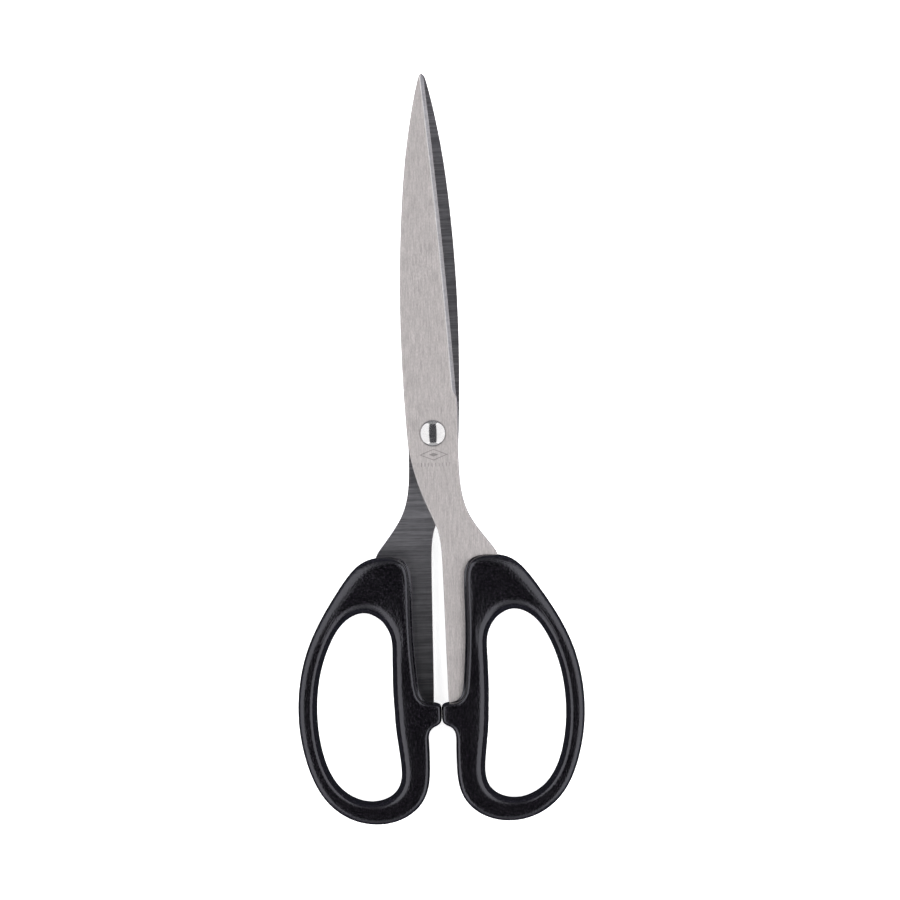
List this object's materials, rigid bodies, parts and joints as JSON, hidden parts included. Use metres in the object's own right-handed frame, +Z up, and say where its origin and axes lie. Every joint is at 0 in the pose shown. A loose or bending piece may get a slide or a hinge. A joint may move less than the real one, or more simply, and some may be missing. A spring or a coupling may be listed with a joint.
{
  "type": "fabric shears",
  "caption": "Fabric shears: stamped stainless halves turning on a domed rivet, with black moulded plastic finger bows, lying flat and closed.",
  "frame": {"origin": "under the middle of the closed outline, on the surface that the bows lie on", "axes": "+Y along the closed blades to the tip, +X to the bow of the upper half (the right-hand bow), +Z up through the pivot rivet's head"},
  "size_m": [0.0806, 0.2106, 0.01],
  "materials": {
    "blade_steel": "brushed along the outside, ground across the mating faces",
    "bow_plastic": "fine moulded grain",
    "rivet_steel": "polished",
    "spring_steel": "plain spring steel"
  },
  "bodies": {
    "rear_half": {"rear_blade": "blade_steel", "left_handle": "bow_plastic", "pivot_rivet": "rivet_steel", "spring_washer": "spring_steel", "rivet_burr": "rivet_steel"},
    "front_half": {"front_blade": "blade_steel", "right_handle": "bow_plastic"}
  },
  "joints": [
    {"name": "blade_pivot", "type": "hinge", "parent": "rear_half", "child": "front_half", "pos_m": [0, 0.00404, 0.005], "axis": [0, 0, 1], "range_deg": [0, 135]}
  ]
}
